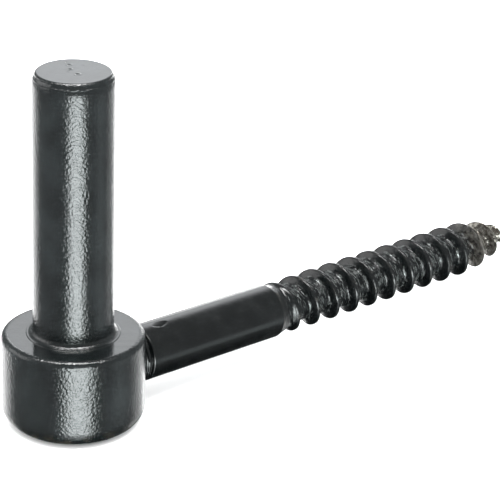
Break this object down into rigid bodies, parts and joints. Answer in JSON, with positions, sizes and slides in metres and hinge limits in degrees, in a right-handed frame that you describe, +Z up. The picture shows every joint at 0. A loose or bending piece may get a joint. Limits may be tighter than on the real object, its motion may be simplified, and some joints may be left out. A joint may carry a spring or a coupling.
{
  "type": "gate hinge pin",
  "caption": "Upright hinge pin on a round boss, carried by a horizontal wood screw with a plain shank, for hanging a gate on a timber post.",
  "frame": {"origin": "on the pin's axis, in the plane of the boss's top face, where the gate's eye bears", "axes": "+Z up the pin, +X out along the screw towards its tip, +Y to the left of the screw seen from the pin"},
  "size_m": [0.1096, 0.0232, 0.0594],
  "materials": {
    "black_coat": "semi-gloss black coat over steel, with a fine orange-peel grain",
    "black_coat_screw": "semi-gloss black coat over rolled steel, thin and brownish at the tip"
  },
  "bodies": {
    "root": {"hinge_pin": "black_coat", "wood_screw": "black_coat_screw"}
  },
  "joints": []
}
